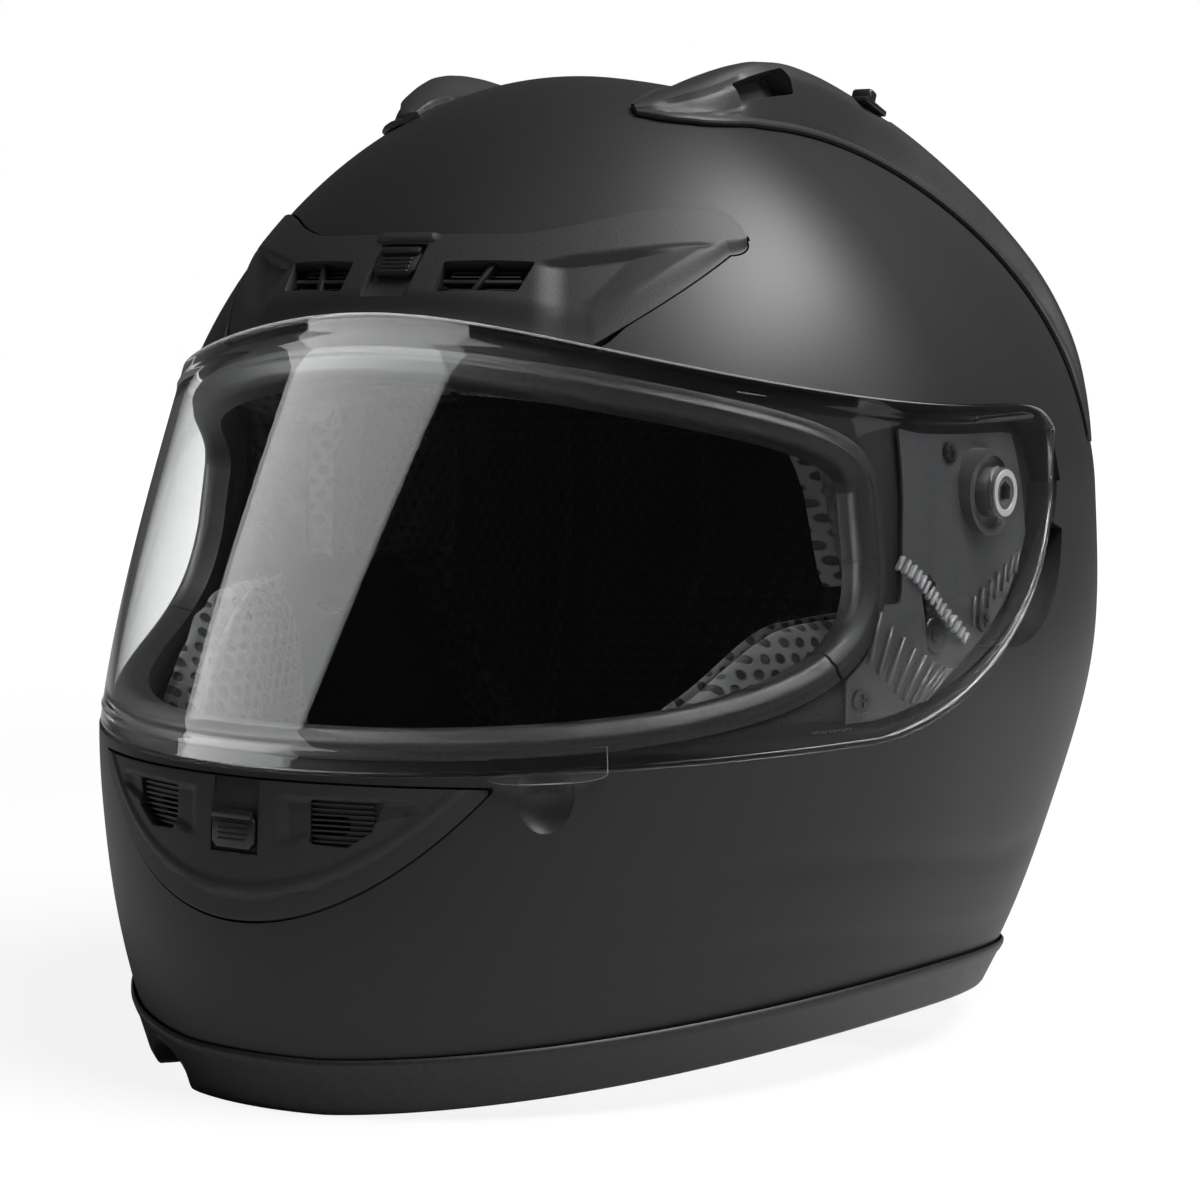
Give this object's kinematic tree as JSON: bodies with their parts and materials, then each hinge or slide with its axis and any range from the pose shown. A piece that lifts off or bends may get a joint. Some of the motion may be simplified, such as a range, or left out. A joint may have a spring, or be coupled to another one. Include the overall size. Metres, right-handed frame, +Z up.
{
  "type": "motorcycle helmet",
  "caption": "Full-face motorcycle helmet with a hinged clear visor, sliding vents and padded lining.",
  "frame": {"origin": "centre of the footprint on the plane the helmet stands on", "axes": "+Z up, the wearer faces -Y, the wearer's left is +X"},
  "size_m": [0.252, 0.3239, 0.2649],
  "materials": {
    "shell_black": "satin black paint over a moulded shell",
    "rubber_black": "matte black rubber",
    "foam_black": "black expanded polystyrene",
    "liner_fabric": "brushed black knit",
    "pad_fabric": "black air-mesh",
    "vent_black": "fine-grained matte black",
    "slider_black": "matte black",
    "mechanism_black": "textured black nylon",
    "screw_steel": "black oxide steel",
    "visor_clear": "clear polished polycarbonate",
    "webbing_black": "woven black webbing",
    "anchor_steel": "zinc plated",
    "ring_steel": "polished nickel"
  },
  "bodies": {
    "helmet": {"outer_shell": "shell_black", "bottom_trim": "rubber_black", "gasket_upper": "rubber_black", "gasket_lower": "rubber_black", "crown_foam": "foam_black", "chin_foam": "foam_black", "crown_liner": "liner_fabric", "cheek_pad_left": "pad_fabric", "cheek_pad_right": "pad_fabric", "neck_roll": "liner_fabric", "brow_vent_cover": "vent_black", "chin_vent_cover": "vent_black", "top_scoop_left": "vent_black", "top_scoop_right": "vent_black", "rear_exhaust_cover": "vent_black", "side_plate_left": "mechanism_black", "side_plate_right": "mechanism_black", "side_plate_screws": "screw_steel", "strap_left": "webbing_black", "strap_right": "webbing_black", "strap_anchors": "anchor_steel", "snap_button": "mechanism_black", "pad_snaps": "mechanism_black"},
    "visor": {"visor": "visor_clear"},
    "brow_slider": {"brow_vent_slider": "slider_black"},
    "chin_slider": {"chin_vent_slider": "slider_black"},
    "scoop_slider_left": {"scoop_slider_left": "slider_black"},
    "scoop_slider_right": {"scoop_slider_right": "slider_black"},
    "lever_left": {"lock_lever_left": "mechanism_black"},
    "lever_right": {"lock_lever_right": "mechanism_black"},
    "ring_inner": {"ring_inner": "ring_steel"},
    "ring_outer": {"ring_outer": "ring_steel"}
  },
  "joints": [
    {"name": "visor_pivot", "type": "hinge", "parent": "helmet", "child": "visor", "pos_m": [0, 0.004, 0.151], "axis": [-1, 0, 0], "range_deg": [0, 45]},
    {"name": "brow_slider_slide", "type": "slide", "parent": "helmet", "child": "brow_slider", "axis": [0, 0.5862, 0.8102], "range_m": [-0.006, 0]},
    {"name": "chin_slider_slide", "type": "slide", "parent": "helmet", "child": "chin_slider", "axis": [0, 0.0499, 0.9988], "range_m": [0, 0.006]},
    {"name": "scoop_slide_left", "type": "slide", "parent": "helmet", "child": "scoop_slider_left", "axis": [0, 0.9397, -0.342], "range_m": [0, 0.006]},
    {"name": "scoop_slide_right", "type": "slide", "parent": "helmet", "child": "scoop_slider_right", "axis": [0, 0.9397, -0.342], "range_m": [0, 0.006]},
    {"name": "lever_turn_left", "type": "hinge", "parent": "helmet", "child": "lever_left", "pos_m": [0.11853, -0.0268, 0.11546], "axis": [0.9895, -0.1156, 0.0868], "range_deg": [0, 14], "stiffness_Nm_per_rad": 0.02},
    {"name": "lever_turn_right", "type": "hinge", "parent": "helmet", "child": "lever_right", "pos_m": [-0.11853, -0.0268, 0.11546], "axis": [0.9895, 0.1156, -0.0868], "range_deg": [0, 14], "stiffness_Nm_per_rad": 0.02},
    {"name": "ring_inner_swing", "type": "hinge", "parent": "helmet", "child": "ring_inner", "pos_m": [0.012, -0.004, 0.01], "axis": [0, 1, 0], "range_deg": [-18, 0]},
    {"name": "ring_outer_swing", "type": "hinge", "parent": "helmet", "child": "ring_outer", "pos_m": [0.012, -0.004, 0.0144], "axis": [0, 1, 0], "range_deg": [0, 75]}
  ]
}
